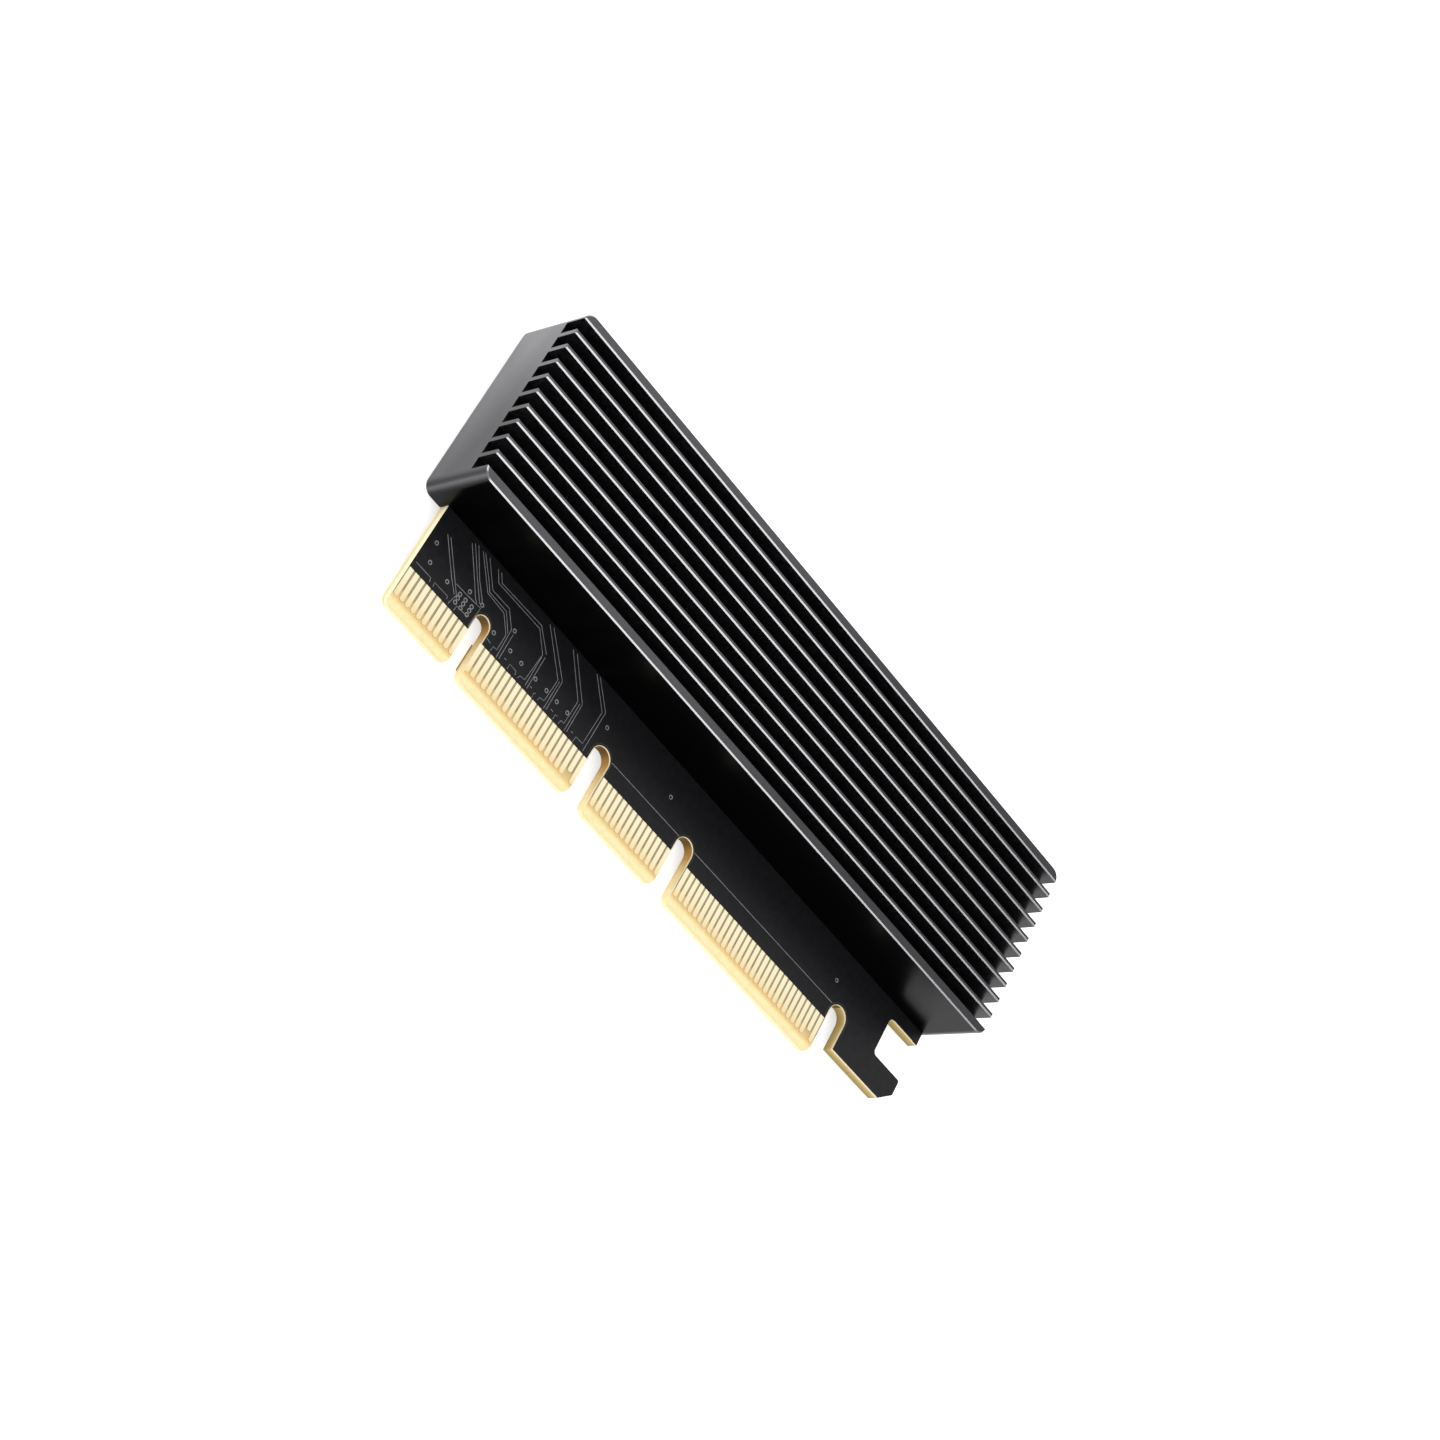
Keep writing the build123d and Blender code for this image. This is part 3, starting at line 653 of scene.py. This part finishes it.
# Copper outlines and tracks on the front face, in millimetres along the contacts and above the mask
front_paths = [
    # edges of the ground areas by the first contacts
    [(0.0, 1.05), (2.65, 1.05), (2.8, 0.5)],
    [(3.5, 0.4), (3.4, 1.0), (5.75, 1.05), (5.85, 0.65)],
    [(6.3, 0.4), (6.55, 1.6), (6.75, 2.3)],
    [(7.4, 0.3), (7.45, 1.05), (9.4, 1.15)],
    [(5.85, 3.1), (7.35, 3.15), (9.4, 3.25), (10.25, 3.3), (10.15, 0.3)],
    # pairs of the first group, which fan out towards the cover
    [(1.4, 6.9), (4.9, 3.2), (6.35, 1.9)],
    [(2.0, 6.9), (5.4, 3.35), (6.6, 2.1)],
    [(4.7, 8.6), (7.55, 5.4), (9.0, 3.7), (9.5, 3.35)],
    [(5.1, 8.9), (7.9, 5.7), (9.85, 3.6)],
    [(5.6, 9.1), (8.15, 5.9), (9.8, 4.3), (10.05, 4.0)],
    # pairs round the key notch to the second group
    [(6.5, 9.0), (8.9, 6.6), (10.0, 5.5), (13.2, 5.3), (15.0, 3.4), (15.0, 1.05), (14.4, 1.0), (14.3, 0.25)],
    [(6.9, 9.1), (9.15, 6.9), (10.15, 5.8), (13.4, 5.7), (15.1, 3.75)],
    [(7.7, 9.1), (10.35, 6.3), (13.5, 6.3), (15.25, 4.5), (15.45, 0.25)],
    [(15.8, 4.15), (15.85, 0.4)],
    [(9.5, 8.9), (10.5, 7.6), (18.4, 7.6), (20.6, 5.4), (20.3, 1.1), (19.5, 1.0), (19.3, 0.5)],
    [(10.1, 8.9), (10.9, 7.95), (18.4, 8.1), (21.05, 5.8)],
    [(20.65, 5.1), (20.75, 0.6)],
    [(21.1, 5.4), (21.15, 0.5)],
    [(19.3, 9.1), (24.2, 4.6), (24.05, 1.1), (23.3, 1.0), (23.2, 0.5)],
    [(20.0, 9.2), (24.85, 4.9), (24.9, 0.45)],
    [(24.5, 4.6), (24.5, 0.35)],
    [(23.8, 9.2), (28.1, 4.65), (28.0, 1.05), (27.45, 1.0), (27.3, 0.4)],
    [(24.6, 9.2), (28.85, 4.8), (28.9, 0.5)],
    [(28.5, 4.6), (28.5, 0.35)],
    [(28.4, 9.4), (31.8, 6.15), (31.65, 1.05), (30.4, 1.0), (30.3, 0.2)],
    [(29.05, 9.4), (32.25, 6.5), (32.2, 0.3)],
    # short ends of the ground areas over the second group
    [(13.05, 1.15), (13.8, 1.0)],
    [(16.45, 1.05), (16.8, 1.1)],
    [(17.5, 0.3), (17.5, 1.05), (18.7, 1.0), (18.85, 0.55)],
    [(21.4, 1.05), (21.7, 1.05)],
    [(22.35, 0.2), (22.3, 0.8), (22.6, 0.95)],
    [(25.4, 1.05), (25.85, 1.0)],
    [(26.35, 0.25), (26.35, 0.95), (26.7, 1.05)],
    [(29.4, 1.0), (29.75, 1.05)],
    # the long edge of the ground area over the third and fourth groups
    [(36.6, 2.3), (50.35, 2.35)],
    [(53.55, 2.35), (83.5, 2.45)],
]
track_half_width, track_height = 0.048 * MM, 0.02 * MM
front_tracks = flat_lines(
    "front_tracks", [[on_card(*p) for p in path] for path in front_paths],
    track_half_width, track_height, front_z, raised_mask,
)
finish_piece(front_tracks)

# Contacts 17 and 48 reach as far down as their neighbours: a gold tip fits the end of each
tip_bevel = 0.2
tip_start, tip_end = -3.1, -4.15
tips = []
for across in (18.0, 49.0):
    bpy.ops.object.select_all(action="DESELECT")
    middle = on_card(across, (tip_start + tip_end) / 2, front_z + contact_thickness / 2 * MM)
    bpy.ops.mesh.primitive_cube_add(size=1.0, location=middle)
    bpy.ops.transform.resize(value=(contact_width * MM, (tip_start - tip_end) * MM, contact_thickness * MM))
    bpy.ops.object.transform_apply(location=True, rotation=True, scale=True)
    tip = bpy.context.object
    bpy.ops.object.mode_set(mode="EDIT")
    for side in (-1, 1):
        bpy.ops.mesh.select_all(action="SELECT")
        bevel_start = on_card(across + side * (contact_width / 2 - tip_bevel), tip_start)
        bpy.ops.mesh.bisect(plane_co=bevel_start, plane_no=(1.0, 0.0, 0.0))
    # both corners of each end move up together, so the top end fits the bevelled end above it
    bpy.ops.mesh.select_mode(type="VERT")
    bpy.ops.mesh.select_all(action="DESELECT")
    bpy.ops.object.mode_set(mode="OBJECT")
    for vertex in tip.data.vertices:
        vertex.select = abs(vertex.co.x - middle[0]) > (contact_width / 2 - tip_bevel / 2) * MM
    bpy.ops.object.mode_set(mode="EDIT")
    bpy.ops.transform.translate(value=(0.0, tip_bevel * MM, 0.0))
    bpy.ops.mesh.select_all(action="SELECT")
    bpy.ops.mesh.normals_make_consistent(inside=False)
    bpy.ops.object.mode_set(mode="OBJECT")
    tips.append(tip)
for tip in tips:
    tip.select_set(True)
bpy.ops.object.join()
front_contact_tips = bpy.context.object
front_contact_tips.name = "front_contact_tips"
front_contact_tips.data.materials.append(gold)
finish_piece(front_contact_tips)

# On the back, pairs run from the contacts up to vias beside the socket's pins
back_paths = [
    [(0.0, 1.05), (10.0, 1.05)], [(17.9, 1.05), (20.9, 1.05)], [(23.3, 1.05), (25.0, 1.05)],
    [(27.4, 1.05), (29.0, 1.05)], [(36.6, 2.35), (50.35, 2.35)], [(53.55, 2.35), (83.5, 2.45)],
]
# each pair's place at the contacts, and the lane that it runs up in
pair_lanes = ((14.0, 14.5), (17.1, 16.3), (22.0, 17.9), (26.1, 19.5), (30.0, 21.1))
pair_start, pair_foot, foot_step = 0.3, 2.6, 0.4
first_turn, turn_step, corner_cut = 15.5, 3.6, 1.0
pair_gap, via_spread = 0.45, 0.35
fan_column, via_column = 13.1, 12.6
pair_end_places = []
for pair_number, (start, lane) in enumerate(pair_lanes):
    turn = first_turn + turn_step * pair_number
    for gap, spread in ((0.0, -via_spread), (pair_gap, via_spread)):
        foot = pair_foot + foot_step * gap
        pair_end_places.append((via_column, turn + gap + spread))
        back_paths.append([
            (start + gap, pair_start), (start + gap, foot), (lane + gap, foot + abs(start - lane)),
            (lane + gap, turn + gap - corner_cut), (lane + gap - corner_cut, turn + gap),
            (fan_column, turn + gap), pair_end_places[-1],
        ])
back_tracks = flat_lines(
    "back_tracks", [[on_card(*p) for p in path] for path in back_paths],
    track_half_width, track_height, back_z, raised_mask,
)
finish_piece(back_tracks)

# Round each notch a thin pale line, a painted edge highlight, and outside it the brown edge of the inner
# copper


def notch_lines(outside, foot):
    """Lines that follow the notches at a distance outside their walls, from a height above the mask line."""
    arc_steps = 12
    angles = [pi * i / arc_steps for i in range(arc_steps + 1)]
    lines = []
    for notch_center, notch_width in notches:
        radius = notch_width / 2 + outside
        arch = (notch_top_y - mask_line_y) / MM - notch_width / 2
        arc = [(notch_center - radius * cos(a), arch + radius * sin(a)) for a in angles]
        path = [(notch_center - radius, foot), *arc, (notch_center + radius, foot)]
        lines.append([on_card(*p) for p in path])
    return lines


# the wall past the last notch with the hook's lower edge, then the latch gap's upper edge
hook_lines = [
    [on_card(86.9, 1.2), on_card(86.9, -2.31), on_card(97.0, -2.31)],
    [on_card(94.0, 7.72), on_card(98.2, 7.72)],
]
rim_outside, rim_foot = 0.05, 0.0
rim_half_width, rim_height = 0.05 * MM, 0.012 * MM
copper_outside, copper_foot = 0.32, 0.5
copper_half_width, copper_height = 0.04 * MM, 0.01 * MM
for side_name, side_z in (("front", front_z), ("back", back_z)):
    rims = flat_lines(
        side_name + "_notch_rims", notch_lines(rim_outside, rim_foot) + hook_lines,
        rim_half_width, rim_height, side_z, painted_rim_highlight,
    )
    finish_piece(rims)
    copper_rims = flat_lines(
        side_name + "_inner_copper_rims", notch_lines(copper_outside, copper_foot),
        copper_half_width, copper_height, side_z, brown_rim,
    )
    finish_piece(copper_rims)

# Vias: a tinned copper ring under thin mask with a plugged hole, the same on both faces
ground_via_pitch, ground_via_count = 9.0, 8
via_places = [
    (0.85, 4.9), (1.5, 2.4), (4.7, 2.35), (7.9, 3.75), (10.2, 3.75), (13.45, 2.35), (15.7, 4.7), (16.6, 2.35),
    (18.75, 2.3), (21.5, 2.3), (23.6, 2.35), (25.6, 2.35), (27.65, 2.4), (33.5, 5.2), (46.47, 5.3),
    (82.45, 5.3),
    *[(across, up) for across in (7.0, 8.0, 9.15) for up in (1.25, 1.9, 2.5)],
    # beside the socket's pins, and along the sides of the ground area under the cover
    *pair_end_places,
    *[
        (row_start + ground_via_pitch * i, up)
        for row_start, up in ((26.0, 12.2), (21.0, 33.9)) for i in range(ground_via_count)
    ],
]
via_radius, via_thickness = 0.29 * MM, 0.04 * MM
ring_width, plug_depth = 0.09 * MM, 0.015 * MM
bpy.ops.object.select_all(action="DESELECT")
bpy.ops.mesh.primitive_cylinder_add(
    vertices=16, radius=via_radius, depth=via_thickness, location=(0, 0, 0)
)
via = bpy.context.object
bpy.ops.object.mode_set(mode="EDIT")
bpy.ops.mesh.select_mode(type="FACE")
bpy.ops.mesh.select_all(action="DESELECT")
bpy.ops.object.mode_set(mode="OBJECT")
for face in via.data.polygons:
    face.select = face.normal.z > 0.9
bpy.ops.object.mode_set(mode="EDIT")
bpy.ops.mesh.inset(thickness=ring_width)
bpy.ops.transform.translate(value=(0, 0, -plug_depth))
bpy.ops.object.mode_set(mode="OBJECT")
via_ring, shader, coords = start_material("thin_mask_on_via_ring", Roughness=0.4)
via_grain = 0.2
ripple = add_node(via_ring, "ShaderNodeTexNoise", {"Scale": 1000 / via_grain}, {"Vector": coords})
ring_colour = add_node(
    via_ring, "ShaderNodeValToRGB", {"stops": [(0.3, "#8a8a8e"), (0.7, "#a4a4a8")]},
    {"Fac": ripple.outputs["Fac"]},
)
feed(via_ring, shader, "Base Color", ring_colour.outputs["Color"])
via_plug, shader, coords = start_material("plugged_via_hole", Roughness=0.6)
plug_noise = add_node(via_plug, "ShaderNodeTexNoise", {"Scale": 1000 / via_grain}, {"Vector": coords})
plug_colour = add_node(
    via_plug, "ShaderNodeValToRGB", {"stops": [(0.3, "#060607"), (0.7, "#101011")]},
    {"Fac": plug_noise.outputs["Fac"]},
)
feed(via_plug, shader, "Base Color", plug_colour.outputs["Color"])
via.data.materials.append(via_ring)
via.data.materials.append(via_plug)
for face in via.data.polygons:
    face.material_index = int(face.select)
for side_name, side_z, flip in (("front_vias", front_z, 0.0), ("back_vias", back_z, pi)):
    bpy.ops.object.select_all(action="DESELECT")
    copies = []
    for across, up in via_places:
        copy = bpy.data.objects.new(side_name, via.data.copy())
        bpy.context.scene.collection.objects.link(copy)
        on_side = Matrix.Translation(on_card(across, up, side_z)) @ Matrix.Rotation(flip, 4, "X")
        copy.data.transform(on_side)
        copy.select_set(True)
        copies.append(copy)
    bpy.context.view_layer.objects.active = copies[0]
    bpy.ops.object.join()
    finish_piece(bpy.context.object)
bpy.data.objects.remove(via)

# Floor, light and camera
floor_size = 30.0
bpy.ops.object.select_all(action="DESELECT")
bpy.ops.mesh.primitive_plane_add(size=floor_size, location=(0, 0, 0))
floor = bpy.context.object
floor.name = "floor"
floor.data.materials.append(acrylic)


def softbox(name, direction, distance, width, height, radiance):
    """A rectangular lamp that faces the card, with the brightness that a mirror would show."""
    lamp = bpy.data.lights.new(name, "AREA")
    lamp.shape = "RECTANGLE"
    lamp.size = width
    lamp.size_y = height
    lamp.energy = radiance * pi * width * height
    holder = bpy.data.objects.new(name, lamp)
    bpy.context.scene.collection.objects.link(holder)
    toward = Vector(direction).normalized()
    holder.location = toward * distance
    holder.rotation_mode = "QUATERNION"
    holder.rotation_quaternion = toward.to_track_quat("Z", "Y")


softbox("over_the_fins", (0.42, 0.53, 0.74), 1.6, 1.0, 1.0, 1.5)
softbox("along_the_edges", (0.28, -0.78, 0.56), 1.4, 0.9, 0.5, 3.0)
softbox("from_the_left", (-0.9, 0.1, 0.5), 1.6, 1.0, 0.8, 2.0)

world = bpy.data.worlds.new("soft_white_studio")
bpy.context.scene.world = world
world.use_nodes = True
world.node_tree.nodes["Background"].inputs["Color"].default_value = linear("#f4f5f7")
world.node_tree.nodes["Background"].inputs["Strength"].default_value = 0.75
bpy.context.scene.view_settings.view_transform = "Standard"

# Camera at the photograph's angle, turned about its own axis
camera = bpy.data.cameras.new("camera")
camera.lens = 79.32
camera.sensor_width = 36.0
camera.clip_start = 0.01
camera.clip_end = 60.0
camera_object = bpy.data.objects.new("camera", camera)
bpy.context.scene.collection.objects.link(camera_object)
right = Vector((0.580983, 0.422845, 0.695457))
up = Vector((-0.661038, 0.743648, 0.100083))
back = right.cross(up)
camera_axes = Matrix((right, up, back)).transposed()
camera_place = (-0.188814, -0.201728, 0.284028)
camera_object.matrix_world = Matrix.Translation(camera_place) @ camera_axes.to_4x4()
bpy.context.scene.camera = camera_object
